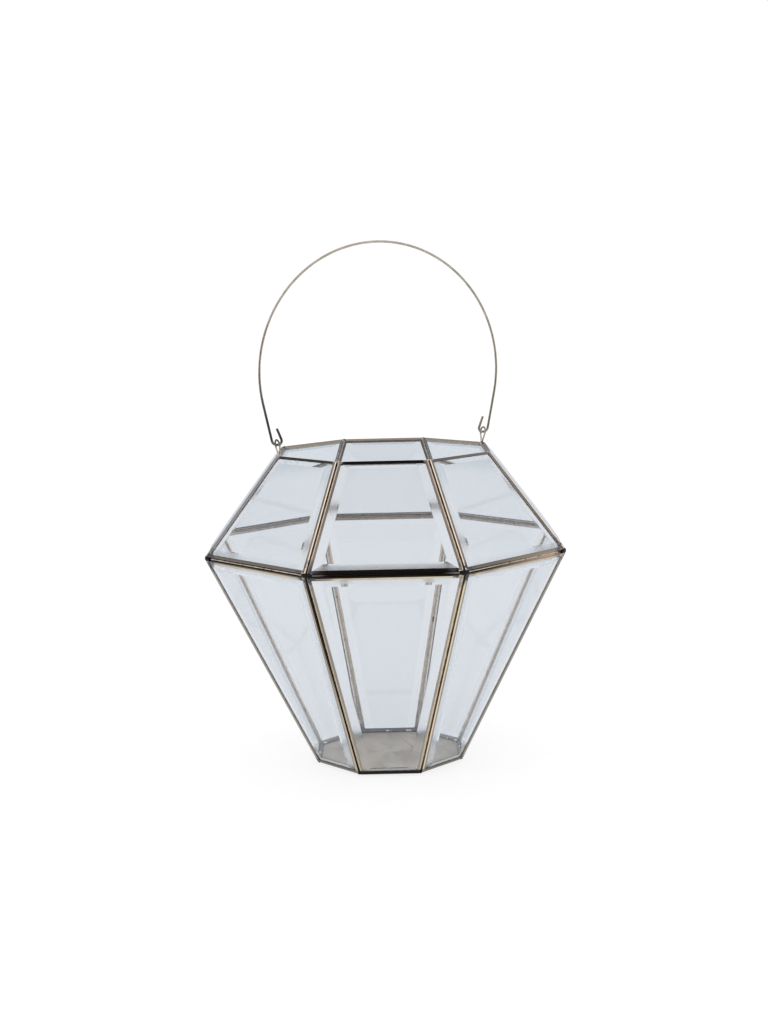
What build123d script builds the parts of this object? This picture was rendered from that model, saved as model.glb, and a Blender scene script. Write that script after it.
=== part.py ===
from build123d import *

import os
from math import asin, atan2, cos, hypot, pi, radians, sin

# Octagonal candle lantern: bevelled glass panes bound in brass channel and soldered edge to edge,
# a sheet-metal base and a wire bail that swings in two looped-wire eyelets.
# Millimetres, +Z up, origin at the middle of the underside, the bail's hinge line along X.

# Glass shell: corner radii and heights of its inside
CORNER_PAIRS = 4
BASE_RADIUS = 53.0
WAIST_RADIUS = 128.5
RIM_RADIUS = 76.0
LOWER_HEIGHT = 150.5
UPPER_HEIGHT = 65.0

# Glass panes, ground thinner along all four edges of the outer face
GLASS_THICKNESS = 3.0
SIDE_BEVEL = 7.5
END_BEVEL = 5.5
BEVEL_DEPTH = 1.75

# Brass channel round each pane and round the base sheet
CAME_LEG = 2.1
CAME_WALL = 0.4
CAME_BEND = 0.8
SEAM_GAP = 0.2
SLOT_FIT = 0.05
SLOT_END_GAP = 0.3
SHEET_THICKNESS = 1.5

# Solder: a faceted bead on every corner and a run along the inside of every seam
RIM_BEAD = 2.0
EYELET_BEAD = 2.8
WAIST_BEAD = 2.5
BASE_BEAD = 1.7
FLOOR_GAP = 0.15
BEAD_FACETS = 6
BEAD_BEVEL = 0.9
SEAM_RUN = 1.5

# Eyelets: a thin wire, drawn faceted, bent into a loop whose legs cross and stand in the rim's solder
EYELET_WIRE = 1.2
EYELET_FACETS = 8
EYELET_RADIUS = 2.5
EYELET_HEIGHT = 8.0
EYELET_LEAN = 8.0
EYELET_FOOT_SPREAD = 1.8
LOOP_BENDS = 3
EYELET_CROSSING_GAP = 0.42
EYELET_INSET = 0.3
FOOT_GAP = 0.1

# Bail: one round wire, its long handle drawn faceted, hooked up at both ends
BAIL_WIRE = 1.7
BAIL_FACETS = 12
BAIL_LEG = 25.9
BAIL_LEAN = 12.0
BAIL_DROP = 0.9
HOOK_SEAT = 1.0
HOOK_LEG_BEND = 3.4
HOOK_TAIL_BEND = 2.6
HOOK_CURL = 22.0
HOOK_TAIL = 8.0
WIRE_END = 0.3

# What follows from those sizes
SIDES = 2 * CORNER_PAIRS
STEP = 2 * pi / SIDES
BEVEL_SLOPE = BEVEL_DEPTH / min(SIDE_BEVEL, END_BEVEL)
GLASS_EDGE = GLASS_THICKNESS - BEVEL_DEPTH
GLASS_INSET = SEAM_GAP / 2 + CAME_WALL + SLOT_END_GAP
GLASS_COVER = CAME_LEG - CAME_WALL - SLOT_END_GAP
SLOT_WIDTH = GLASS_EDGE + GLASS_COVER * BEVEL_SLOPE + 2 * SLOT_FIT
CAME_DEPTH = SLOT_WIDTH + 2 * CAME_WALL
BASE_SLOT = SHEET_THICKNESS + 2 * SLOT_FIT
BASE_DEPTH = BASE_SLOT + 2 * CAME_WALL

# Rings of inside corners, as radius and height
BASE = (BASE_RADIUS, BASE_DEPTH)
WAIST = (WAIST_RADIUS, BASE_DEPTH + LOWER_HEIGHT)
RIM = (RIM_RADIUS, BASE_DEPTH + LOWER_HEIGHT + UPPER_HEIGHT)

os.makedirs("parts", exist_ok=True)


def write(piece, name):
    """Label a finished piece and write it as a node of that name."""
    piece.part.label = name
    export_step(piece.part, f"parts/{name}.step")


def corner(ring, index):
    """Inside corner of a ring, counted from +X."""
    radius, height = ring
    return Vector(radius * cos(index * STEP), radius * sin(index * STEP), height)


def pane_plane(lower, upper, index):
    """Inside face of a pane: origin in the middle of its lower edge, x along it, z outwards."""
    angle = (index + 0.5) * STEP
    rise = upper[1] - lower[1]
    spread = (upper[0] - lower[0]) * cos(STEP / 2)
    middle = (corner(lower, index) + corner(lower, index + 1)) / 2
    return Plane(
        origin=middle,
        x_dir=(-sin(angle), cos(angle), 0),
        z_dir=(rise * cos(angle), rise * sin(angle), -spread),
    )


def pane_outline(lower, upper, inset):
    """Four-sided outline between two rings, drawn in by inset all round."""
    half_lower = lower[0] * sin(STEP / 2)
    half_upper = upper[0] * sin(STEP / 2)
    rise = upper[1] - lower[1]
    spread = (upper[0] - lower[0]) * cos(STEP / 2)
    slant = (rise**2 + spread**2) ** 0.5
    with BuildSketch() as outline:
        with BuildLine():
            Polyline(
                (-half_lower, 0),
                (half_lower, 0),
                (half_upper, slant),
                (-half_upper, slant),
                close=True,
            )
        make_face()
        offset(amount=-inset, kind=Kind.INTERSECTION)
    return outline.sketch


def base_outline(inset):
    """Outline of the base, drawn in by inset all round."""
    with BuildSketch() as outline:
        RegularPolygon(radius=BASE_RADIUS - inset / cos(STEP / 2), side_count=SIDES)
    return outline.sketch


def panel_block(plane, outline, depth):
    """The space that a panel and its channel take up, as one square-edged block."""
    with BuildPart() as block:
        with BuildSketch(plane):
            add(outline)
        extrude(amount=depth)
    return block.part


def channel(block, plane, window, slot, slot_width):
    """The brass channel round a panel: rounded where it is bent, with a window and a slot cut out."""
    with BuildPart() as bent_strip:
        add(block)
        outer_face = bent_strip.faces().sort_by(Axis(plane.origin, plane.z_dir))[-1]
        fillet(outer_face.edges(), radius=CAME_BEND)
        with BuildSketch(plane):
            add(window)
        extrude(amount=slot_width + 2 * CAME_WALL, mode=Mode.SUBTRACT)
        with BuildSketch(plane.offset(CAME_WALL)):
            add(slot)
        extrude(amount=slot_width, mode=Mode.SUBTRACT)
    return bent_strip


def bevelled_glass(plane, lower, upper):
    """A pane with a thin square edge, its outer face ground down to it in a flat bevel all round."""
    with BuildPart() as pane:
        with BuildSketch(plane.offset(CAME_WALL + SLOT_FIT)):
            add(pane_outline(lower, upper, GLASS_INSET))
        extrude(amount=GLASS_THICKNESS)
        edges = pane.faces().sort_by(Axis(plane.origin, plane.z_dir))[1:-1]
        bottom, left, right, top = edges.sort_by(Axis(plane.origin, plane.y_dir))
        for edge, width in ((bottom, END_BEVEL), (top, END_BEVEL), (left, SIDE_BEVEL), (right, SIDE_BEVEL)):
            foot = edge.center() + plane.z_dir * (GLASS_EDGE - GLASS_THICKNESS / 2)
            slope = edge.normal_at() * BEVEL_DEPTH + plane.z_dir * width
            split(bisect_by=Plane(foot, z_dir=slope), keep=Keep.BOTTOM)
    return pane


# Panes and their channels, ring by ring
blocks = {}
for ring_name, lower_ring, upper_ring in (("lower", BASE, WAIST), ("upper", WAIST, RIM)):
    for side in range(SIDES):
        face = pane_plane(lower_ring, upper_ring, side)
        block = panel_block(face, pane_outline(lower_ring, upper_ring, SEAM_GAP / 2), CAME_DEPTH)
        blocks[ring_name, side] = block
        came = channel(
            block,
            face,
            pane_outline(lower_ring, upper_ring, SEAM_GAP / 2 + CAME_LEG),
            pane_outline(lower_ring, upper_ring, SEAM_GAP / 2 + CAME_WALL),
            SLOT_WIDTH,
        )
        write(came, f"{ring_name}_came_{side + 1}")
        write(bevelled_glass(face, lower_ring, upper_ring), f"{ring_name}_glass_{side + 1}")

# Base sheet in its channel, built downwards from the lowest inside corners
floor_plane = Plane(origin=(0, 0, BASE_DEPTH), x_dir=(1, 0, 0), z_dir=(0, 0, -1))
blocks["base", 0] = panel_block(floor_plane, base_outline(SEAM_GAP / 2), BASE_DEPTH)
base_came = channel(
    blocks["base", 0],
    floor_plane,
    base_outline(SEAM_GAP / 2 + CAME_LEG),
    base_outline(SEAM_GAP / 2 + CAME_WALL),
    BASE_SLOT,
)
write(base_came, "base_came")

with BuildPart() as base_plate:
    with BuildSketch(floor_plane.offset(CAME_WALL + SLOT_FIT)):
        add(base_outline(GLASS_INSET))
    extrude(amount=SHEET_THICKNESS)
write(base_plate, "base_plate")

# Eyelets on two opposite rim corners, leaning outwards, their loops across the hinge line
upper_normal = pane_plane(WAIST, RIM, 0).z_dir
RIM_TOP = RIM[1] + CAME_DEPTH * upper_normal.Z
FOOT = Vector(RIM_RADIUS + EYELET_INSET, 0, RIM_TOP + FOOT_GAP)
lean_out = radians(EYELET_LEAN)
eyelet_plane = Plane(FOOT, x_dir=(0, 1, 0), z_dir=(cos(lean_out), 0, -sin(lean_out)))
leg_angle = atan2(EYELET_FOOT_SPREAD / 2, EYELET_HEIGHT) + asin(
    EYELET_RADIUS / hypot(EYELET_FOOT_SPREAD / 2, EYELET_HEIGHT)
)
loop_turn = (pi + 2 * leg_angle) / LOOP_BENDS
leg_depth = (EYELET_WIRE + EYELET_CROSSING_GAP) / 2


def loop_corner(bend):
    """Corner of the loop's path before it is rounded, on its way over the top from leg to leg."""
    angle = pi + leg_angle - (bend + 0.5) * loop_turn
    reach = EYELET_RADIUS / cos(loop_turn / 2)
    depth = leg_depth * (1 - 2 * bend / (LOOP_BENDS - 1))
    return (reach * cos(angle), EYELET_HEIGHT + reach * sin(angle), depth)


with BuildPart() as eyelet_right:
    with BuildLine(eyelet_plane) as eyelet_line:
        FilletPolyline(
            (EYELET_FOOT_SPREAD / 2, 0, leg_depth),
            *[loop_corner(bend) for bend in range(LOOP_BENDS)],
            (-EYELET_FOOT_SPREAD / 2, 0, -leg_depth),
            radius=EYELET_RADIUS,
        )
    with BuildSketch(Plane(eyelet_line.line @ 0, z_dir=eyelet_line.line % 0)):
        RegularPolygon(radius=EYELET_WIRE / 2, side_count=EYELET_FACETS)
    sweep(path=eyelet_line.line)
write(eyelet_right, "eyelet_right")

with BuildPart() as eyelet_left:
    add(eyelet_right.part, rotation=(0, 0, 180))
write(eyelet_left, "eyelet_left")


def nugget(size):
    """A blob of solder: a short many-sided nugget with bevelled ends."""
    with BuildPart() as blob:
        with BuildSketch():
            RegularPolygon(radius=size, side_count=BEAD_FACETS)
        extrude(amount=size, both=True)
        chamfer(blob.edges().filter_by(Plane.XY), length=BEAD_BEVEL)
    return blob.part


# Solder beads on the corners, cut away where the channels and the eyelets are
normals = {
    "base": Vector(0, 0, -1),
    "lower": pane_plane(BASE, WAIST, 0).z_dir,
    "upper": upper_normal,
}
bead_rings = (
    ("rim_solder", RIM, RIM_BEAD, ("upper",)),
    ("waist_solder", WAIST, WAIST_BEAD, ("upper", "lower")),
    ("base_solder", BASE, BASE_BEAD, ("lower",)),
)
for name, ring, bead, frames in bead_rings:
    # A bead sits halfway out through the channels that meet at its corner, clear of the floor
    outward = sum((normals[frame] for frame in frames), Vector()) / len(frames) * CAME_DEPTH / 2
    bead_radius = ring[0] + hypot(outward.X, outward.Y) * cos(STEP / 2)
    bead_height = max(ring[1] + outward.Z, bead + FLOOR_GAP)
    with BuildPart() as beads:
        with Locations((0, 0, bead_height)):
            with PolarLocations(bead_radius, SIDES):
                add(nugget(bead))
        if ring is RIM:
            with Locations(FOOT, (-FOOT.X, 0, FOOT.Z)):
                add(nugget(EYELET_BEAD))
        add(blocks.values(), mode=Mode.SUBTRACT)
        add((eyelet_right.part, eyelet_left.part), mode=Mode.SUBTRACT)
    write(beads, name)


def seam_section(start, end, normal_a, normal_b):
    """Plane across the middle of a seam, its x pointing inwards, and half the angle inside it."""
    inwards = -(normal_a + normal_b)
    across = Plane(origin=(start + end) / 2, x_dir=inwards, z_dir=end - start)
    return across, radians(90 - normal_a.get_angle(normal_b) / 2)


def solder_run(section, half_angle, low_end, high_end):
    """A fillet of solder in the corner between two panels, from low_end to high_end."""
    reach = SEAM_RUN * cos(half_angle)
    half_width = SEAM_RUN * sin(half_angle)
    with BuildPart() as run:
        with BuildSketch(section.offset(low_end)):
            with BuildLine():
                Polyline((reach, half_width), (0, 0), (reach, -half_width), close=True)
            make_face()
        extrude(amount=high_end - low_end)
    return run.part


def face_normal(frame, side):
    """Outward normal of a panel of the shell."""
    return normals[frame].rotate(Axis.Z, 360 / SIDES * side)


# Solder runs along the inside of the seams, each ending at the beads
seam_rings = (
    ("upper_seam_solder", WAIST, RIM, ("upper", "upper"), WAIST_BEAD, RIM_BEAD),
    ("lower_seam_solder", BASE, WAIST, ("lower", "lower"), BASE_BEAD, WAIST_BEAD),
    ("waist_seam_solder", WAIST, WAIST, ("lower", "upper"), WAIST_BEAD, WAIST_BEAD),
    ("base_seam_solder", BASE, BASE, ("base", "lower"), BASE_BEAD, BASE_BEAD),
)
for name, first_ring, second_ring, frames, first_bead, second_bead in seam_rings:
    with BuildPart() as runs:
        for side in range(SIDES):
            start = corner(first_ring, side)
            upright = first_ring != second_ring
            end = corner(second_ring, side if upright else side + 1)
            normal_a = face_normal(frames[0], side)
            normal_b = face_normal(frames[1], side - 1 if upright else side)
            section, half_angle = seam_section(start, end, normal_a, normal_b)
            half_length = (end - start).length / 2
            add(solder_run(section, half_angle, first_bead - half_length, half_length - second_bead))
    write(runs, name)

# Bail: tail, hook and leg on the right, the same on the left, and the round handle between them
HINGE = FOOT + eyelet_plane.y_dir * (EYELET_HEIGHT - BAIL_DROP)
lean = radians(BAIL_LEAN)
curl = radians(HOOK_CURL)
leg_top = HINGE.X + HOOK_SEAT / 2 + HOOK_LEG_BEND * cos(lean) + BAIL_LEG * sin(lean)
BAIL_RADIUS = leg_top / cos(lean)
tail_foot = (
    HINGE.X - HOOK_SEAT / 2 - HOOK_TAIL_BEND * cos(curl),
    HINGE.Z + HOOK_TAIL_BEND * (1 + sin(curl)),
)
tail_top = (tail_foot[0] + HOOK_TAIL * sin(curl), tail_foot[1] + HOOK_TAIL * cos(curl))
with BuildPart() as bail:
    with BuildLine(Plane.XZ) as hook_line:
        tail = Line(tail_top, tail_foot)
        tail_bend = JernArc(tail @ 1, tail % 1, HOOK_TAIL_BEND, 90 + HOOK_CURL)
        seat = Line(tail_bend @ 1, tail_bend @ 1 + tail_bend % 1 * HOOK_SEAT)
        leg_bend = JernArc(seat @ 1, seat % 1, HOOK_LEG_BEND, 90 - BAIL_LEAN)
        leg = Line(leg_bend @ 1, leg_bend @ 1 + leg_bend % 1 * BAIL_LEG)
    with BuildSketch(Plane(hook_line.line @ 0, z_dir=hook_line.line % 0)):
        Circle(BAIL_WIRE / 2)
    sweep(path=hook_line.line)
    chamfer(bail.faces().sort_by_distance(hook_line.line @ 0)[0].edges(), length=WIRE_END)
    mirror(about=Plane.YZ)
    with BuildLine(Plane.XZ) as handle_line:
        JernArc(leg @ 1, leg % 1, BAIL_RADIUS, 180 + 2 * BAIL_LEAN)
    with BuildSketch(Plane(handle_line.line @ 0, z_dir=handle_line.line % 0)):
        RegularPolygon(radius=BAIL_WIRE / 2, side_count=BAIL_FACETS)
    sweep(path=handle_line.line)
write(bail, "bail")
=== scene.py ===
from math import asin, atan2, cos, hypot, pi, radians, sin

import bpy
from mathutils import Matrix, Vector


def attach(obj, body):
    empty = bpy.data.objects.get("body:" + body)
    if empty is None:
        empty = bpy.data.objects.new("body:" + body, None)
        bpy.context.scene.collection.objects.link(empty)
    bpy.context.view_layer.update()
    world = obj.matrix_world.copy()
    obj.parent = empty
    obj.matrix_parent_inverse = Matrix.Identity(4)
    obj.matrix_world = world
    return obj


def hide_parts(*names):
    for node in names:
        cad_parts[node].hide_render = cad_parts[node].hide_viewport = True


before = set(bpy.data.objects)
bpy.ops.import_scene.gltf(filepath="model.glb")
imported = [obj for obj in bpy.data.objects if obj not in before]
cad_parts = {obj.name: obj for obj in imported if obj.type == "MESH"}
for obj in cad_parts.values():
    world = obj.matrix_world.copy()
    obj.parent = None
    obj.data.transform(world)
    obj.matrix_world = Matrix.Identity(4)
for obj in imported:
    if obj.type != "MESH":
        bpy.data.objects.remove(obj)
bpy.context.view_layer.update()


# Base sheet: an octagon of tinned steel cut with snips, held by its edges in the lowest channel.
# It is the shelf that a candle stands on: dull, a little warm, with fine scratches from use.
SHEET_WARM = (0.75, 0.66, 0.565, 1)
SHEET_COOL = (0.65, 0.59, 0.525, 1)
SHEET_SMUDGE = (0.82, 0.735, 0.65, 1)
SHEET_STAIN = (0.40, 0.345, 0.29, 1)
SHEET_SCRATCH = (0.20, 0.17, 0.14, 1)
SCRATCH_DEPTH = 0.00005


class Socket:
    """An output in a node tree. Arithmetic on it adds Math nodes, node() adds any other kind."""

    def __init__(self, tree, output=None):
        self.tree = tree
        self.output = output

    def node(self, kind, sockets, output=0, **settings):
        made = self.tree.nodes.new(kind)
        for name, value in settings.items():
            setattr(made, name, value)
        for key, value in sockets.items():
            if isinstance(value, Socket):
                self.tree.links.new(value.output, made.inputs[key])
            else:
                made.inputs[key].default_value = value
        return Socket(self.tree, made.outputs[output] if made.outputs else None)

    def math(self, operation, first, second=0.0):
        return self.node("ShaderNodeMath", {0: first, 1: second}, operation=operation)

    def __add__(self, other):
        return self.math("ADD", self, other)

    def __radd__(self, other):
        return self.math("ADD", other, self)

    def __sub__(self, other):
        return self.math("SUBTRACT", self, other)

    def __rsub__(self, other):
        return self.math("SUBTRACT", other, self)

    def __mul__(self, other):
        return self.math("MULTIPLY", self, other)

    def __rmul__(self, other):
        return self.math("MULTIPLY", other, self)

    def __truediv__(self, other):
        return self.math("DIVIDE", self, other)

    def __pow__(self, other):
        return self.math("POWER", self, other)

    def __abs__(self):
        return self.math("ABSOLUTE", self)

    def at_least(self, other):
        """This value, or the other one where that is more."""
        return self.math("MAXIMUM", self, other)

    def fade(self, low, high):
        """Nought below low, one above high and a soft step between."""
        limits = {"Value": self, "From Min": low, "From Max": high}
        return self.node("ShaderNodeMapRange", limits, interpolation_type="SMOOTHSTEP")

    def blend(self, first, second):
        """The first colour where this value is nought, the second where it is one."""
        return self.node("ShaderNodeMix", {0: self, 6: first, 7: second}, output=2, data_type="RGBA")

    def bump(self, strength, distance):
        """The way the surface faces once this value has raised it by up to so far."""
        return self.node("ShaderNodeBump", {"Height": self, "Strength": strength, "Distance": distance})

    def part(self, axis):
        """One coordinate of this place or direction."""
        return self.node("ShaderNodeSeparateXYZ", {0: self}, output=axis)

    def bearing(self):
        """The angle about the Z axis at which this place or direction lies."""
        return self.math("ARCTAN2", self.part("Y"), self.part("X"))

    def towards(self, way):
        """One where this bearing is the given one, nought square to it, minus one opposite to it."""
        return self.math("COSINE", self - way)

    def dot(self, other):
        """How much of this direction lies along the other."""
        pair = {0: self, 1: other}
        return self.node("ShaderNodeVectorMath", pair, output="Value", operation="DOT_PRODUCT")

    def noise(self, scale, detail=3.0, roughness=0.55):
        """Cloudy values at this place, with so many clouds to the metre."""
        sockets = {"Vector": self, "Scale": scale, "Detail": detail, "Roughness": roughness}
        return self.node("ShaderNodeTexNoise", sockets)

    def stretched(self, turn, scale):
        """This place turned about Z and drawn out, so that a pattern on it becomes strokes."""
        return self.node("ShaderNodeMapping", {0: self, 2: (0, 0, turn), 3: scale})


def new_finish(name):
    """A material with nothing in it yet, and the place on the piece that wears it."""
    material = bpy.data.materials.new(name)
    material.use_nodes = True
    material.node_tree.nodes.clear()
    return material, Socket(material.node_tree).node("ShaderNodeTexCoord", {}, output="Object")


def end_finish(place, sockets):
    surface = place.node("ShaderNodeBsdfPrincipled", sockets)
    place.node("ShaderNodeOutputMaterial", {"Surface": surface})


def tinned_sheet():
    material, place = new_finish("tinned_sheet")
    cloud = place.noise(34, 5).fade(0.35, 0.65)
    stain = place.noise(85, 6, 0.7).fade(0.48, 0.72)
    smudge = place.stretched(0.9, (140, 45, 45)).noise(1, 4, 0.6).fade(0.5, 0.7)
    scratch = place.stretched(0.5, (700, 12, 12)).noise(1, 2).fade(0.64, 0.70)
    scuff = place.stretched(-0.9, (1000, 20, 20)).noise(1, 2).fade(0.67, 0.72)
    marks = scratch + scuff
    colour = cloud.blend(SHEET_WARM, SHEET_COOL)
    colour = (smudge * 0.4).blend(colour, SHEET_SMUDGE)
    colour = (stain * 0.45).blend(colour, SHEET_STAIN)
    colour = (marks * 0.75).blend(colour, SHEET_SCRATCH)
    end_finish(place, {
        "Base Color": colour,
        "Metallic": 0.75,
        "Roughness": 0.46 + cloud * 0.12 - smudge * 0.06,
        "Normal": marks.bump(0.3, SCRATCH_DEPTH),
    })
    return material


def dress(node_name, material):
    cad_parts[node_name].data.materials.clear()
    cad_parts[node_name].data.materials.append(material)


dress("base_plate", tinned_sheet())


# Brass channel: thin strip folded to a U round every pane and round the base sheet, then patinated.
# Its face is rubbed, its bends are bright, partly rubbed brass and partly a painted highlight, and the walls
# in its seams are brown,
#  or black at the left of the front. Inside it is pale along the lower seams, partly painted light, brown at
#  the waist and the rim, slate at the foot. Painted shade darkens its level strips, the near rim and its
#  foot.
SIDES = 8
STEP = 2 * pi / SIDES
FRONT = -2.5 * STEP
LEFT_SEAM = FRONT - STEP / 2
SIDE_SEAM = 1.5 * STEP
BASE = (0.053, 0.0024)
WAIST = (0.1285, 0.1529)
RIM = (0.076, 0.2179)

# A pair of sizes says where a mask starts and where it is full.
OUTER_LEG = (0.0012, 0.0018)
UPRIGHT_STRIP = (0.0030, 0.0042)
BELOW_WAIST = (WAIST[1] - 0.0024, WAIST[1] - 0.0004)
RIGHT_HALF = (0.01, 0.09)


def panel_middle(place):
    """The bearing of the middle of the panel at this place."""
    return (place.math("FLOOR", place.bearing() / STEP) + 0.5) * STEP


def seam_distance(place):
    """How far this place lies from the plane through the axis and the nearest upright seam."""
    x, y = place.part("X"), place.part("Y")
    off_seam = place.math("PINGPONG", place.bearing(), STEP / 2)
    return (x * x + y * y) ** 0.5 * place.math("SINE", off_seam)


class ChannelSpot:
    """Where a place lies on a channel, as distances and as masks that are one on what they are named
    for. The channel's panel faces outwards and up by tilt and lies at this depth along that line."""

    def __init__(self, place, tilt, depth):
        middle = panel_middle(place)
        outwards = place.node("ShaderNodeCombineXYZ", {
            "X": place.math("COSINE", middle) * cos(tilt),
            "Y": place.math("SINE", middle) * cos(tilt),
            "Z": sin(tilt),
        })
        facing = place.node("ShaderNodeNewGeometry", {}, output="True Normal").dot(outwards)
        self.outer_leg = (place.dot(outwards) - depth).fade(*OUTER_LEG)
        self.face = facing.fade(0.90, 0.995)
        self.bend = facing.fade(0.12, 0.35) * (1 - self.face)
        self.inside = (0 - facing).fade(0.3, 0.6)
        self.wall = 1 - self.face - self.bend - self.inside
        self.slot = self.face * (1 - self.outer_leg) + self.inside * self.outer_leg

        self.height = place.part("Z")
        self.from_waist = abs(self.height - WAIST[1])
        self.from_seam = seam_distance(place)
        self.upright = 1 - self.from_seam.fade(*UPRIGHT_STRIP)
        self.lower = 1 - self.height.fade(*BELOW_WAIST)
        self.right = place.part("X").fade(*RIGHT_HALF)

        ahead = middle.towards(FRONT)
        self.front = ahead.fade(0.8, 0.95)
        self.near = ahead.fade(0.3, 0.7)
        self.rear = (0 - ahead).fade(0.75, 0.95)
        self.left_seam = self.lower * place.bearing().towards(LEFT_SEAM).fade(0.990, 0.996)
        # Where the seams at the two sides of the view lie, which get a painted grey reflection.
        off_side_seam = abs(place.bearing().towards(FRONT) - cos(SIDE_SEAM)).fade(0.05, 0.12)
        self.grey_reflection_seam = (1 - off_side_seam) * (1 - (1 - self.lower) * self.right)


BROWN_CLOUD = (0.36, 0.275, 0.21, 1)
BROWN_SPECK = (0.24, 0.18, 0.13, 1)
SIDE_SEAM_REFLECTION_FACE = (0.46, 0.46, 0.46, 1)
SIDE_SEAM_REFLECTION_BEND = (0.42, 0.42, 0.42, 1)
LEFT_SEAM_DARK_FACE = (0.24, 0.185, 0.14, 1)
LEFT_SEAM_BLACK_BEND = (0.035, 0.022, 0.012, 1)
LEFT_SEAM_DARK_HEIGHT = (0.03, 0.11)
EDGE_LINE = (0.25, 0.24, 0.20, 1)
EDGE_LINE_PLACE = (0.0017, 0.0021)
LEVEL_SHADE_LEFT = (0.17, 0.15, 0.125, 1)
LEVEL_SHADE_RIGHT = (0.32, 0.26, 0.215, 1)
LEVEL_SHADE_FRONT = (0.012, 0.009, 0.008, 1)
RIM_LEFT_SHADE = (0.06, 0.055, 0.045, 1)
RIM_LEFT_SHADE_SIDE = (-0.002, 0.004)
RIM_LEFT_SHADE_HEIGHT = (0.208, 0.214)
WAIST_BEND = (0.0025, 0.0035)


def face_colour(spot, place, rubbed, bend_highlight, level_shade_share):
    """The face and the bends: brown clouds and specks, a painted grey reflection on the seams at the two
    sides, bends partly rubbed and partly a painted highlight, a darker face and black bend at the left seam
    of the front, a dark line by the glass, and painted shade on the level strips, darkest at the front and
    darker on the left."""
    brown = place.noise(22, 3).fade(0.52, 0.66)
    speck = place.noise(900, 3, 0.7).fade(0.55, 0.8)
    colour = (brown * 0.6).blend(rubbed, BROWN_CLOUD)
    colour = (speck * 0.25).blend(colour, BROWN_SPECK)
    # Painted reflection: the seams at the two sides of the view take a neutral grey.
    colour = (spot.grey_reflection_seam * 0.6).blend(colour, SIDE_SEAM_REFLECTION_FACE)
    # The bends' bright colour is partly rubbed brass and partly a painted highlight.
    colour = spot.bend.blend(colour, spot.grey_reflection_seam.blend(bend_highlight, SIDE_SEAM_REFLECTION_BEND))

    # A darker face and a near-black bend at the left seam of the front, more so higher up.
    higher = spot.height.fade(*LEFT_SEAM_DARK_HEIGHT)
    darker_face = spot.left_seam * spot.front * spot.face * (0.3 + 0.6 * higher)
    colour = darker_face.blend(colour, LEFT_SEAM_DARK_FACE)
    blacker_bend = spot.left_seam * (1 - spot.front) * spot.bend * (0.3 + 0.7 * higher)
    colour = blacker_bend.blend(colour, LEFT_SEAM_BLACK_BEND)
    edge_line = spot.lower * spot.upright * spot.face * spot.from_seam.fade(*EDGE_LINE_PLACE)
    colour = (edge_line * 0.7).blend(colour, EDGE_LINE)

    # Painted shade: the level strips are darkened, almost black at the front, darker on the left and on the
    # left of the rim.
    darkened = spot.right.blend(LEVEL_SHADE_LEFT, LEVEL_SHADE_RIGHT)
    rim_left_shade = (1 - place.part("X").fade(*RIM_LEFT_SHADE_SIDE)) * spot.height.fade(*RIM_LEFT_SHADE_HEIGHT)
    darkened = spot.front.blend(rim_left_shade.blend(darkened, RIM_LEFT_SHADE), LEVEL_SHADE_FRONT)
    waist_bend = spot.bend * (1 - spot.from_waist.fade(*WAIST_BEND))
    return ((1 - spot.upright) * waist_bend.at_least(level_shade_share)).blend(colour, darkened)


SEAM_WALL = (0.0012, 0.0020)
SEAM_BROWN = (0.27, 0.19, 0.115, 1)
SEAM_BLACK = (0.045, 0.03, 0.018, 1)
WINDOW_INNER = (0.80, 0.74, 0.67, 1)
WINDOW_OUTER = (0.30, 0.27, 0.23, 1)
WAIST_WALL = (0.0015, 0.0025)
WAIST_BLACK = (0.06, 0.045, 0.035, 1)
WAIST_BARE = (0.92, 0.75, 0.60, 1)
RIM_TOP = (0.2150, 0.2162)
RIM_FAR = (0.42, 0.355, 0.285, 1)
RIM_NEAR_LEFT_SHADE = (0.05, 0.045, 0.035, 1)
RIM_NEAR_RIGHT_SHADE = (0.15, 0.135, 0.11, 1)


def wall_colour(spot):
    """The walls: round the window, in the seams, at the waist, bare on the right, and on the rim, where
    painted shade darkens the near side.
    """
    off_waist = spot.from_waist.fade(*WAIST_WALL)
    in_groove = 1 - spot.from_seam.fade(*SEAM_WALL) * off_waist
    window = spot.outer_leg.blend(WINDOW_INNER, WINDOW_OUTER)
    colour = in_groove.blend(window, spot.left_seam.blend(SEAM_BROWN, SEAM_BLACK))
    colour = (1 - off_waist).blend(colour, spot.right.blend(WAIST_BLACK, WAIST_BARE))
    # Painted shade: the top of the rim is darkened on the near side, more on the left.
    rim = spot.near.blend(RIM_FAR, spot.right.blend(RIM_NEAR_LEFT_SHADE, RIM_NEAR_RIGHT_SHADE))
    return spot.height.fade(*RIM_TOP).blend(colour, rim)


FLUX_STAIN = (0.085, 0.083, 0.095, 1)
STAIN_SQUARE = (0.00001, 0.00013)
FOOT_SHADE_EDGE = (0.0032, 0.0050)
FOOT_SHADE_SIDE = (0.24, 0.23, 0.20, 1)
FOOT_SHADE_FRONT = (0.022, 0.018, 0.015, 1)


def stained_and_foot_shaded(spot, place, colour):
    """The outside once flux has stained it round the waist's corners, with painted shade darkening its foot,
    almost black at the front.
    """
    outside = 1 - spot.inside
    off_corner = (spot.from_seam ** 2 + spot.from_waist ** 2).fade(*STAIN_SQUARE)
    stain = (1 - off_corner) * place.noise(210, 4, 0.65).fade(0.42, 0.58)
    colour = (stain * outside).blend(colour, FLUX_STAIN)
    # Painted shade: the foot is darkened where it stands by the floor, almost black at the front.
    foot = 1 - spot.height.fade(*FOOT_SHADE_EDGE)
    return (foot * outside).blend(colour, spot.front.blend(FOOT_SHADE_SIDE, FOOT_SHADE_FRONT))


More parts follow.
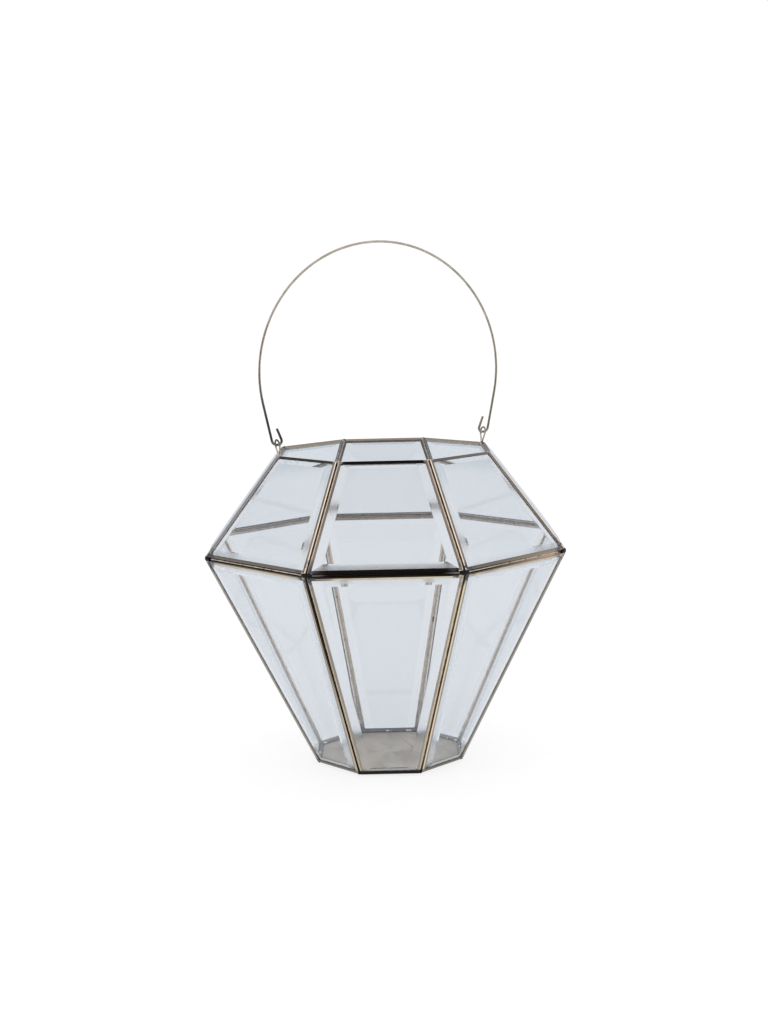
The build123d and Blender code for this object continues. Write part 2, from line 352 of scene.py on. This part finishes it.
# The first colour of each pair here is for the front and the sides, the second for the rear. The pale tones
# are partly painted light for what reaches the inside through the glass, and the darker rear copies are
# painted shade.
SEAM_PALE = ((0.98, 0.90, 0.81, 1), (0.72, 0.61, 0.51, 1))
SEAM_DEEP = ((0.92, 0.82, 0.72, 1), (0.60, 0.50, 0.41, 1))
LEVEL_PALE = ((0.48, 0.42, 0.365, 1), (0.32, 0.265, 0.23, 1))
LEVEL_DEEP = ((0.40, 0.35, 0.30, 1), (0.25, 0.205, 0.175, 1))
FOOT_INSIDE_SHADE = ((0.25, 0.255, 0.27, 1), (0.13, 0.135, 0.15, 1))
FOOT_INSIDE_SHADE_HEIGHT = (0.0045, 0.0060)
UPPER_SLATE = (0.20, 0.195, 0.205, 1)
UPPER_SLATE_HEIGHT = (0.19, 0.212)
LOWER_SLATE = (0.17, 0.18, 0.20, 1)
LOWER_SLATE_HEIGHT = (0.006, 0.040)


def inside_colour(spot, place, rub):
    """The side that shows through the glass: dull and uneven, palest along the lower seams, with slate grey
    stains up to the rim and down to the foot.
    Its pale tones are partly painted light, the rear is painted darker as shade, and painted shade darkens
    the foot, most at the rear."""
    lower_seam = spot.upright * spot.lower
    pale = lower_seam.blend(spot.rear.blend(*LEVEL_PALE), spot.rear.blend(*SEAM_PALE))
    deep = lower_seam.blend(spot.rear.blend(*LEVEL_DEEP), spot.rear.blend(*SEAM_DEEP))
    colour = rub.fade(0.38, 0.62).blend(pale, deep)
    upper_slate = spot.upright * spot.height.fade(*UPPER_SLATE_HEIGHT)
    colour = (upper_slate * 0.8).blend(colour, UPPER_SLATE)
    lower_slate = (1 - spot.height.fade(*LOWER_SLATE_HEIGHT)) * place.noise(130, 3).fade(0.35, 0.55)
    colour = (lower_slate * 0.85).blend(colour, LOWER_SLATE)
    # Painted shade: the foot of the inside is darkened where it meets the base, most at the rear.
    foot_inside_shade = 1 - spot.height.fade(*FOOT_INSIDE_SHADE_HEIGHT)
    return foot_inside_shade.blend(colour, spot.rear.blend(*FOOT_INSIDE_SHADE))


SLOT_BARE = (0.86, 0.82, 0.77, 1)
SLOT_FRONT_SHADE = (0.02, 0.017, 0.015, 1)
SLOT_FRONT_SHADE_HEIGHT = (0.18, 0.20)
BRASS_EDGE_TINT = (0.45, 0.47, 0.51, 1)
RUB_DEPTH = 0.0001


def antique_brass(name, panel, tones, bend_highlight, level_shade_share):
    """Patinated brass for the channels of panels with this tilt and depth, in two tones, with bends of the
    given bright colour, partly a painted highlight, and painted shade on its level strips by so much."""
    material, place = new_finish(name)
    spot = ChannelSpot(place, *panel)
    cloud = place.noise(60, 4).fade(0.35, 0.7)
    rub = place.noise(260, 5, 0.65)
    colour = face_colour(spot, place, cloud.blend(*tones), bend_highlight, level_shade_share)
    colour = spot.wall.blend(colour, wall_colour(spot))
    colour = stained_and_foot_shaded(spot, place, colour)
    colour = spot.inside.blend(colour, inside_colour(spot, place, rub))
    # Painted shade: the slot near the rim at the front is painted almost black.
    slot_front_shade = spot.front * spot.height.fade(*SLOT_FRONT_SHADE_HEIGHT)
    colour = spot.slot.blend(colour, slot_front_shade.blend(SLOT_BARE, SLOT_FRONT_SHADE))
    dullness = cloud * 0.06 + spot.upright * spot.face * 0.15 + spot.inside * 0.06 + spot.wall * 0.25
    end_finish(place, {
        "Base Color": colour,
        "Metallic": 1.0,
        "Specular Tint": BRASS_EDGE_TINT,
        "Roughness": 0.17 + dullness,
        "Normal": rub.bump(0.1, RUB_DEPTH),
    })
    return material


BASE_PANEL = (-pi / 2, -BASE[1])
BASE_TONES = ((0.34, 0.31, 0.26, 1), (0.24, 0.22, 0.19, 1))
# Partly rubbed brass and partly a painted highlight.
RUBBED_BEND_HIGHLIGHT = (0.74, 0.64, 0.49, 1)
dress("base_came", antique_brass("base_brass", BASE_PANEL, BASE_TONES, RUBBED_BEND_HIGHLIGHT, 0))


# Lower panes: eight tall pieces of clear glass, ground to a wide bevel along all four edges.
# Each is slipped into its channel before the ring is soldered up; the glass is faintly blue.
LOWER_TONES = ((0.60, 0.535, 0.41, 1), (0.52, 0.46, 0.345, 1))
GLASS = (0.79, 0.817, 0.845, 1)
GLASS_SMEAR = (0.78, 0.808, 0.838, 1)
SIDE_BEVEL = (0.0077, 0.0083)
SIDE_BEVEL_GLASS = (0.84, 0.855, 0.88, 1)
WAIST_BEVEL = (0.0056, 0.0060)
RIM_BAND_SHADE_GLASS = (0.645, 0.69, 0.735, 1)
RIM_BAND_SHADE_HEIGHT = (0.190, 0.204)
FOOT_GREY_GLASS = (0.36, 0.365, 0.37, 1)
FOOT_GREY_HEIGHT = (0.0055, 0.0095)
NO_GLOW = (0, 0, 0, 1)
PAINTED_CARRIED_GLOW = (0.32, 0.345, 0.385, 1)
TURNS_CARRIED = (3.2, 3.8)


def panel_plane(low, high):
    """How far up the panel between two rings of corners faces, and its depth along that line."""
    tilt = -atan2((high[0] - low[0]) * cos(STEP / 2), high[1] - low[1])
    return tilt, low[0] * cos(STEP / 2) * cos(tilt) + low[1] * sin(tilt)


def bevelled_glass():
    """Clear glass, paler on the side bevels, hazy on these and on those at the waist, with a darker blue band
    painted near the rim at the back as shade, and a grey foot beside the front.
    A painted pale blue glow stands in for light that a bevel turns back and the pane carries along between
    its faces;
    it shows on rays that have turned several times."""
    material, place = new_finish("bevelled_glass")
    height = place.part("Z")
    ahead = panel_middle(place).towards(FRONT)
    smear = place.noise(35, 4, 0.6).fade(0.45, 0.8)
    streak = place.stretched(0.3, (160, 160, 18)).noise(1, 3).fade(0.5, 0.8)
    off_sides = seam_distance(place).fade(*SIDE_BEVEL)
    ground = 1 - off_sides * abs(height - WAIST[1]).fade(*WAIST_BEVEL)
    # Painted shade: a darker blue band near the rim on the rear panes.
    rim_band_shade = (0 - ahead).fade(0.2, 0.5) * height.fade(*RIM_BAND_SHADE_HEIGHT)
    beside_front = ahead.fade(0.4, 0.6) * (1 - ahead.fade(0.8, 0.95))
    # Darker grey towards the bottom of the panes beside the front.
    grey_foot = (1 - height.fade(*FOOT_GREY_HEIGHT)) * beside_front
    # Painted glow: pale blue emission on rays that have turned several times stands in for light carried
    # along inside the pane.
    painted_glow = place.node("ShaderNodeLightPath", {}, output="Glossy Depth").fade(*TURNS_CARRIED)
    colour = off_sides.blend(SIDE_BEVEL_GLASS, smear.blend(GLASS, GLASS_SMEAR))
    colour = rim_band_shade.blend(colour, RIM_BAND_SHADE_GLASS)
    end_finish(place, {
        "Base Color": grey_foot.blend(colour, FOOT_GREY_GLASS),
        "Roughness": smear * 0.012 + streak * 0.006 + ground * 0.12,
        "IOR": 1.5,
        "Transmission Weight": 1.0,
        "Emission Color": painted_glow.blend(NO_GLOW, PAINTED_CARRIED_GLOW),
        "Emission Strength": 1.0,
    })
    return material


glass = bevelled_glass()
lower_brass = antique_brass("lower_brass", panel_plane(BASE, WAIST), LOWER_TONES, RUBBED_BEND_HIGHLIGHT, 0)
for side in range(1, SIDES + 1):
    dress(f"lower_glass_{side}", glass)
    dress(f"lower_came_{side}", lower_brass)


# Upper panes: eight short pieces of the same glass in the same channel, leaning in to the open mouth.
# Their lower edges are soldered to the tops of the lower panes and make the waist.
# Painted shade: the upper faces are a darker copy of the lower brass.
UPPER_SHADED_TONES = ((0.25, 0.21, 0.175, 1), (0.19, 0.155, 0.125, 1))
UPPER_BEND_HIGHLIGHT = (0.95, 0.83, 0.70, 1)
upper_brass = antique_brass("upper_brass", panel_plane(WAIST, RIM), UPPER_SHADED_TONES, UPPER_BEND_HIGHLIGHT, 1)
for side in range(1, SIDES + 1):
    dress(f"upper_glass_{side}", glass)
    dress(f"upper_came_{side}", upper_brass)


# Solder runs: tin drawn along the inside of every seam with an iron, uneven and dull.
# They tie the channels together from behind, so the outside of the seams stays open.
RUN_RADIUS = 0.0008
RUN_GRAIN = 0.0012
SOLDER_DEEP = (0.44, 0.385, 0.34, 1)
SOLDER_PALE = (0.60, 0.545, 0.50, 1)
SOLDER_BLACK = (0.020, 0.018, 0.018, 1)
SOLDER_AT_WAIST = (0.20, 0.17, 0.155, 1)
SOLDER_AT_FOOT = (0.17, 0.175, 0.19, 1)
SOLDER_PAINTED_GLINT = (0.98, 0.97, 0.95, 1)
SOLDER_WAIST = (0.0025, 0.0040)
SOLDER_FOOT = (0.006, 0.010)
LUMP_DEPTH = 0.0004


def solder_metal(name, black):
    """Tin solder, grey where it is left as it set, with painted glints of white at the foot. Black patina
    covers more of it the higher this share is, and the outside of the front in any case."""
    material, place = new_finish(name)
    height = place.part("Z")
    level = place.node("ShaderNodeVectorMath", {0: place, 1: (1, 1, 0)}, operation="MULTIPLY")
    outwards = place.node("ShaderNodeVectorMath", {0: level}, operation="NORMALIZE")
    normal = place.node("ShaderNodeNewGeometry", {}, output="True Normal")
    outside = normal.dot(outwards).fade(-0.3, 0.1)
    front = place.bearing().towards(FRONT).fade(0.93, 0.96)
    patina = place.noise(160, 3).fade(0.62 - 0.4 * black, 0.75 - 0.4 * black)
    lump = place.noise(420, 4, 0.6)
    colour = lump.fade(0.4, 0.65).blend(SOLDER_DEEP, SOLDER_PALE)
    at_waist = (1 - outside) * (1 - abs(height - WAIST[1]).fade(*SOLDER_WAIST))
    colour = (at_waist * 0.7).blend(colour, SOLDER_AT_WAIST)
    foot = 1 - height.fade(*SOLDER_FOOT)
    colour = foot.blend(colour, SOLDER_AT_FOOT)
    # Painted highlights: white glints put into the colour at the foot.
    painted_glint = place.noise(170, 1).fade(0.60, 0.64) * foot
    colour = painted_glint.blend(colour, SOLDER_PAINTED_GLINT)
    end_finish(place, {
        "Base Color": patina.at_least(outside * front).blend(colour, SOLDER_BLACK),
        "Metallic": 1.0,
        "Roughness": 0.22 + lump * 0.2,
        "Normal": lump.bump(0.6, LUMP_DEPTH),
    })
    return material


def corner(ring, index):
    return Vector((ring[0] * cos(index * STEP), ring[0] * sin(index * STEP), ring[1]))


def new_tree(name, inputs):
    """A Geometry Nodes tree with these named inputs and nothing else yet, and their sockets."""
    tree = bpy.data.node_groups.new(name, "GeometryNodeTree")
    tree.interface.new_socket("Geometry", in_out="INPUT", socket_type="NodeSocketGeometry")
    for label, kind in inputs.items():
        tree.interface.new_socket(label, in_out="INPUT", socket_type=kind)
    tree.interface.new_socket("Geometry", in_out="OUTPUT", socket_type="NodeSocketGeometry")
    first = tree.nodes.new("NodeGroupInput")
    return tree, [Socket(tree, output) for output in first.outputs[:-1]]


def end_tree(shape, finish):
    shape = shape.node("GeometryNodeRealizeInstances", {0: shape})
    shape = shape.node("GeometryNodeSetShadeSmooth", {0: shape})
    shape = shape.node("GeometryNodeSetMaterial", {0: shape, "Material": finish})
    shape.node("NodeGroupOutput", {0: shape})


def grow(name, tree, points, edges, values):
    """A plain mesh made by the tree from a few points and edges, with its inputs set by name."""
    mesh = bpy.data.meshes.new(name)
    mesh.from_pydata(points, edges, [])
    piece = bpy.data.objects.new(name, mesh)
    bpy.context.scene.collection.objects.link(piece)
    modifier = piece.modifiers.new(name, "NODES")
    modifier.node_group = tree
    for item in tree.interface.items_tree:
        if item.in_out == "INPUT" and item.name in values:
            modifier[item.identifier] = values[item.name]
    graph = bpy.context.evaluated_depsgraph_get()
    finished = bpy.data.meshes.new_from_object(piece.evaluated_get(graph), depsgraph=graph)
    piece.modifiers.clear()
    piece.data = finished
    return piece


def lumpy_run_tree():
    tree, (lines, radius, finish) = new_tree(
        "lumpy_run", {"Radius": "NodeSocketFloat", "Finish": "NodeSocketMaterial"}
    )
    curve = lines.node("GeometryNodeMeshToCurve", {0: lines})
    curve = curve.node("GeometryNodeResampleCurve", {0: curve, "Length": RUN_GRAIN}, mode="LENGTH")
    place = curve.node("GeometryNodeInputPosition", {})
    swell = place.noise(230, 3) * 1.1 + 0.45
    profile = curve.node("GeometryNodeCurvePrimitiveCircle", {"Resolution": 8, "Radius": radius})
    run = curve.node("GeometryNodeCurveToMesh", {0: curve, 1: profile, "Scale": swell, "Fill Caps": True})
    end_tree(run, finish)
    return tree


seams = []
for index in range(SIDES):
    seams.append((corner(BASE, index), corner(WAIST, index)))
    seams.append((corner(WAIST, index), corner(RIM, index)))
    seams.append((corner(WAIST, index), corner(WAIST, index + 1)))
    seams.append((corner(BASE, index), corner(BASE, index + 1)))
run_points = [point for seam in seams for point in seam]
run_edges = [(2 * index, 2 * index + 1) for index in range(len(seams))]
run_values = {"Radius": RUN_RADIUS, "Finish": solder_metal("grey_solder", 0.1)}
seam_solder = grow("seam_solder", lumpy_run_tree(), run_points, run_edges, run_values)
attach(seam_solder, "lantern")
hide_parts("lower_seam_solder", "upper_seam_solder", "waist_seam_solder", "base_seam_solder")


# Solder beads: a drop of tin run over every corner of the rim, the waist and the base, smeared
# along the seams by the iron. The patina blackens them, those at the rim only in part.
RIM_BEAD = (0.0012, 0.0018, 0.0011)
RIM_BEAD_SHIFT = (0.0005, 0.0004)
WAIST_BEAD = (0.0020, 0.0040, 0.0019)
WAIST_BEAD_SHIFT = (0.0006, 0.0003)
BASE_BEAD = (0.0013, 0.0022, 0.0013)
BASE_BEAD_SHIFT = (0.0009, -0.0004)
LEAST_BEAD_SHARE = (0.9, 0.75, 0.85)
MOST_BEAD_SHARE = (1.0, 1.1, 1.1)
EYELET_SHARE = 0.45
BEAD_LUMP = 0.0014
BEAD_SEED = 3


def bead_tree():
    """A lumpy drop at every point, its size given outwards, along the ring and upwards, with
    a share added at the two corners on the X axis."""
    tree, (points, size, added, finish) = new_tree("solder_beads", {
        "Size": "NodeSocketVector", "Added Share": "NodeSocketFloat", "Finish": "NodeSocketMaterial",
    })
    place = points.node("GeometryNodeInputPosition", {})
    turn = points.node("ShaderNodeCombineXYZ", {"Z": place.bearing()})
    limits = {0: LEAST_BEAD_SHARE, 1: MOST_BEAD_SHARE, "Seed": BEAD_SEED}
    share = points.node("FunctionNodeRandomValue", limits, data_type="FLOAT_VECTOR")
    size = points.node("ShaderNodeVectorMath", {0: size, 1: share}, operation="MULTIPLY")
    growth = 1 + added * (1 - abs(place.part("Y")).fade(0.001, 0.01))
    size = points.node("ShaderNodeVectorMath", {0: size, "Scale": growth}, operation="SCALE")
    ball = points.node("GeometryNodeMeshIcoSphere", {"Radius": 1.0, "Subdivisions": 4})
    drops = points.node("GeometryNodeInstanceOnPoints", {0: points, 2: ball, "Rotation": turn, "Scale": size})
    drops = drops.node("GeometryNodeRealizeInstances", {0: drops})
    outwards = drops.node("GeometryNodeInputNormal", {})
    swell = (place.noise(420, 2) - 0.5) * BEAD_LUMP
    shift = drops.node("ShaderNodeVectorMath", {0: outwards, "Scale": swell}, operation="SCALE")
    drops = drops.node("GeometryNodeSetPosition", {0: drops, "Offset": shift})
    end_tree(drops, finish)
    return tree


rubbed_solder = solder_metal("rubbed_solder", 0.45)
black_solder = solder_metal("black_solder", 0.9)
bead_maker = bead_tree()
bead_rings = (
    ("rim", RIM, RIM_BEAD, RIM_BEAD_SHIFT, EYELET_SHARE, rubbed_solder),
    ("waist", WAIST, WAIST_BEAD, WAIST_BEAD_SHIFT, 0.0, black_solder),
    ("base", BASE, BASE_BEAD, BASE_BEAD_SHIFT, 0.0, black_solder),
)
for ring_name, ring, bead, shift, added, finish in bead_rings:
    spots = [corner((ring[0] + shift[0], ring[1] + shift[1]), index) for index in range(SIDES)]
    bead_values = {"Size": bead, "Added Share": added, "Finish": finish}
    beads = grow(f"{ring_name}_beads", bead_maker, spots, [], bead_values)
    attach(beads, "lantern")
    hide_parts(f"{ring_name}_solder")


# Eyelets: a thin brass wire bent round a pin into a loop, its legs crossed and set in the solder
# of two opposite rim corners. The bail's hooks hang in them.
EYELET_WIRE = 0.0012
EYELET_RADIUS = 0.0025
EYELET_HEIGHT = 0.008
EYELET_LEAN = radians(8)
EYELET_SPREAD = 0.0018
EYELET_CROSSING = 0.00162
EYELET_OUTSET = 0.0003
EYELET_RISE = 0.001652
EYELET_FOOT = (RIM[0] + EYELET_OUTSET, RIM[1] + EYELET_RISE)
LOOP_STEPS = 32
WIRE_PALE = (0.58, 0.53, 0.455, 1)
WIRE_DEEP = (0.44, 0.395, 0.33, 1)
WIRE_FLECK = (0.20, 0.16, 0.12, 1)
WIRE_DARK = (0.035, 0.028, 0.022, 1)
DARK_BOTTOM = (0.223, 0.231)
DARK_TOP = (0.242, 0.285)
DARK_MIDDLE = (-0.02, 0.02)
FLECK_DEPTH = 0.00005


def brass_wire():
    """Drawn brass with dark flecks, darkened near the eyelets, and less so on the right."""
    material, place = new_finish("brass_wire")
    height = place.part("Z")
    tone = place.noise(90, 4).fade(0.35, 0.7)
    fleck = place.noise(260, 3, 0.6).fade(0.55, 0.75)
    # Darker near the eyelets and up the hooks' legs, less so on the right.
    darkened = height.fade(*DARK_BOTTOM) * (1 - height.fade(*DARK_TOP))
    darkened = darkened * (1 - place.part("X").fade(*DARK_MIDDLE) * 0.6)
    colour = tone.blend(WIRE_PALE, WIRE_DEEP)
    colour = (fleck * 0.25).blend(colour, WIRE_FLECK)
    colour = (darkened * 0.9).blend(colour, WIRE_DARK)
    end_finish(place, {
        "Base Color": colour,
        "Metallic": 1.0,
        "Roughness": 0.26 + tone * 0.08 + fleck * 0.15,
        "Normal": fleck.bump(0.1, FLECK_DEPTH),
    })
    return material


def wire_tree():
    tree, (lines, radius, finish) = new_tree(
        "drawn_wire", {"Radius": "NodeSocketFloat", "Finish": "NodeSocketMaterial"}
    )
    curve = lines.node("GeometryNodeMeshToCurve", {0: lines})
    profile = curve.node("GeometryNodeCurvePrimitiveCircle", {"Resolution": 16, "Radius": radius})
    tube = curve.node("GeometryNodeCurveToMesh", {0: curve, 1: profile, "Fill Caps": True})
    end_tree(tube, finish)
    return tree


leg_length = hypot(EYELET_SPREAD / 2, EYELET_HEIGHT)
leg_angle = atan2(EYELET_SPREAD / 2, EYELET_HEIGHT) + asin(EYELET_RADIUS / leg_length)
loop = [(EYELET_SPREAD / 2, 0, EYELET_CROSSING / 2)]
for index in range(LOOP_STEPS + 1):
    share = index / LOOP_STEPS
    angle = pi + leg_angle - share * (pi + 2 * leg_angle)
    depth = EYELET_CROSSING * (0.5 - share)
    loop.append((EYELET_RADIUS * cos(angle), EYELET_HEIGHT + EYELET_RADIUS * sin(angle), depth))
loop.append((-EYELET_SPREAD / 2, 0, -EYELET_CROSSING / 2))
wire_points = []
wire_edges = []
for way in (1, -1):
    for number, (across, rise, depth) in enumerate(loop):
        out = EYELET_FOOT[0] + rise * sin(EYELET_LEAN) + depth * cos(EYELET_LEAN)
        height = EYELET_FOOT[1] + rise * cos(EYELET_LEAN) - depth * sin(EYELET_LEAN)
        if number:
            wire_edges.append((len(wire_points) - 1, len(wire_points)))
        wire_points.append((way * out, way * across, height))
wire = brass_wire()
wire_maker = wire_tree()
eyelets = grow("eyelets", wire_maker, wire_points, wire_edges, {"Radius": EYELET_WIRE / 2, "Finish": wire})
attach(eyelets, "lantern")
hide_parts("eyelet_left", "eyelet_right")


# Bail: one length of round brass wire bent to a big arc, with a hook at each end that hangs in
# the eyelets. It swings to either side until it meets the shoulder of the lantern.
BAIL_WIRE = 0.0017
BAIL_DROP = 0.0009
BAIL_LEG = 0.0259
BAIL_LEAN = radians(12)
HOOK_SEAT = 0.001
HOOK_LEG_BEND = 0.0034
HOOK_TAIL_BEND = 0.0026
HOOK_CURL = radians(22)
HOOK_TAIL = 0.008
BEND_GRAIN = radians(3)
HINGE = (
    EYELET_FOOT[0] + (EYELET_HEIGHT - BAIL_DROP) * sin(EYELET_LEAN),
    EYELET_FOOT[1] + (EYELET_HEIGHT - BAIL_DROP) * cos(EYELET_LEAN),
)
LEG_TOP = HINGE[0] + HOOK_SEAT / 2 + HOOK_LEG_BEND * cos(BAIL_LEAN) + BAIL_LEG * sin(BAIL_LEAN)
BAIL_RADIUS = LEG_TOP / cos(BAIL_LEAN)


def bent_wire(start, heading, runs):
    """Points along a wire in the XZ plane: straight lengths, each but the last ending in a bend."""
    points = [Vector(start)]
    for length, radius, turn in runs:
        points.append(points[-1] + length * Vector((cos(heading), sin(heading))))
        steps = max(1, round(turn / BEND_GRAIN)) if radius else 0
        middle = points[-1] + radius * Vector((-sin(heading), cos(heading)))
        for step in range(1, steps + 1):
            angle = heading + turn * step / steps
            points.append(middle + radius * Vector((sin(angle), -cos(angle))))
        heading += turn
    return points


tail_foot = Vector((
    HINGE[0] - HOOK_SEAT / 2 - HOOK_TAIL_BEND * cos(HOOK_CURL),
    HINGE[1] + HOOK_TAIL_BEND * (1 + sin(HOOK_CURL)),
))
tail_top = tail_foot + HOOK_TAIL * Vector((sin(HOOK_CURL), cos(HOOK_CURL)))
bail_path = bent_wire(tail_top, -pi / 2 - HOOK_CURL, (
    (HOOK_TAIL, HOOK_TAIL_BEND, pi / 2 + HOOK_CURL),
    (HOOK_SEAT, HOOK_LEG_BEND, pi / 2 - BAIL_LEAN),
    (BAIL_LEG, BAIL_RADIUS, pi + 2 * BAIL_LEAN),
    (BAIL_LEG, HOOK_LEG_BEND, pi / 2 - BAIL_LEAN),
    (HOOK_SEAT, HOOK_TAIL_BEND, pi / 2 + HOOK_CURL),
    (HOOK_TAIL, 0, 0),
))
bail_points = [(point.x, 0, point.y) for point in bail_path]
bail_edges = [(index, index + 1) for index in range(len(bail_points) - 1)]
bail = grow("bail_wire", wire_maker, bail_points, bail_edges, {"Radius": BAIL_WIRE / 2, "Finish": wire})
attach(bail, "bail")
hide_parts("bail")


# Studio: a round white floor in a white room. What the camera and the glass see of the room is plain
# white, but in mirror reflections it is blue-grey behind and dark low down on the camera's side, so
# that the brass has something to reflect.
FLOOR_RADIUS = 0.9
FLOOR_SIDES = 72
FLOOR_DROP = 0.0003
FLOOR_GREY = (0.22, 0.22, 0.22, 1)
FLOOR_GLOW = 0.8
WHITE = (1, 1, 1, 1)
ROOM_BLUE = (0.70, 0.735, 0.78, 1)
ROOM_MIRRORED = 1.08
ROOM_SEEN = 1.04
ROOM_FILL = 1.2
CEILING_LOSS = 0.3
DARK_SIDE_LOSS = 0.97
floor_mesh = bpy.data.meshes.new("floor")
floor_edge = []
for index in range(FLOOR_SIDES):
    angle = 2 * pi * index / FLOOR_SIDES
    floor_edge.append((FLOOR_RADIUS * cos(angle), FLOOR_RADIUS * sin(angle), -FLOOR_DROP))
floor_mesh.from_pydata(floor_edge, [], [range(FLOOR_SIDES)])
floor = bpy.data.objects.new("floor", floor_mesh)
bpy.context.scene.collection.objects.link(floor)
floor_paint, floor_place = new_finish("floor_paint")
end_finish(floor_place, {
    "Base Color": FLOOR_GREY,
    "Roughness": 0.9,
    "Specular IOR Level": 0.0,
    "Emission Color": WHITE,
    "Emission Strength": FLOOR_GLOW,
})
floor_mesh.materials.append(floor_paint)

world = bpy.data.worlds.new("studio")
world.use_nodes = True
world.node_tree.nodes.clear()
direction = Socket(world.node_tree).node("ShaderNodeTexCoord", {}, output="Generated")
steepness = direction.part("Z")
camera_side = direction.bearing().towards(FRONT)
behind = (0 - camera_side).fade(0.0, 0.6)
dark = camera_side.fade(0.5, 0.85) * (1 - steepness.fade(0.2, 0.4))
ceiling = steepness.fade(0.6, 1.0)
seen = direction.node("ShaderNodeLightPath", {}, output="Is Camera Ray")
through = direction.node("ShaderNodeLightPath", {}, output="Is Transmission Ray")
soft = direction.node("ShaderNodeLightPath", {}, output="Is Diffuse Ray")
plain = direction.math("MINIMUM", seen + through, 1)
mirrored = 1 - soft - plain
room = (ROOM_MIRRORED - ceiling * CEILING_LOSS) * (1 - dark * DARK_SIDE_LOSS)
glow = mirrored * room + plain * ROOM_SEEN + soft * ROOM_FILL
tint = (mirrored * behind).blend(WHITE, ROOM_BLUE)
light = direction.node("ShaderNodeBackground", {"Color": tint, "Strength": glow})
direction.node("ShaderNodeOutputWorld", {"Surface": light})
bpy.context.scene.world = world
bpy.context.scene.view_settings.view_transform = "Standard"


# Camera: straight before the front pane, higher than the rim, on a slightly long lens.
# It is tilted down to the middle of the lantern and rolled a hair to one side.
CAMERA_PLACE = Vector((-0.4033, -0.9825, 0.3342))
CAMERA_AHEAD = (0.3794, 0.9252)
CAMERA_DOWN = radians(8.361)
CAMERA_ROLL = radians(-1.3)
CAMERA_LENS = 54.42
CAMERA_SENSOR = 36
level_ahead = Vector((*CAMERA_AHEAD, 0)).normalized()
ahead = level_ahead * cos(CAMERA_DOWN) - Vector((0, 0, sin(CAMERA_DOWN)))
level_right = ahead.cross(Vector((0, 0, 1))).normalized()
level_up = level_right.cross(ahead)
right = level_right * cos(CAMERA_ROLL) + level_up * sin(CAMERA_ROLL)
up = level_up * cos(CAMERA_ROLL) - level_right * sin(CAMERA_ROLL)
lens = bpy.data.cameras.new("camera")
lens.lens = CAMERA_LENS
lens.sensor_width = CAMERA_SENSOR
camera = bpy.data.objects.new("camera", lens)
camera_turn = Matrix((right, up, -ahead)).transposed().to_4x4()
camera.matrix_world = Matrix.Translation(CAMERA_PLACE) @ camera_turn
bpy.context.scene.collection.objects.link(camera)
bpy.context.scene.camera = camera
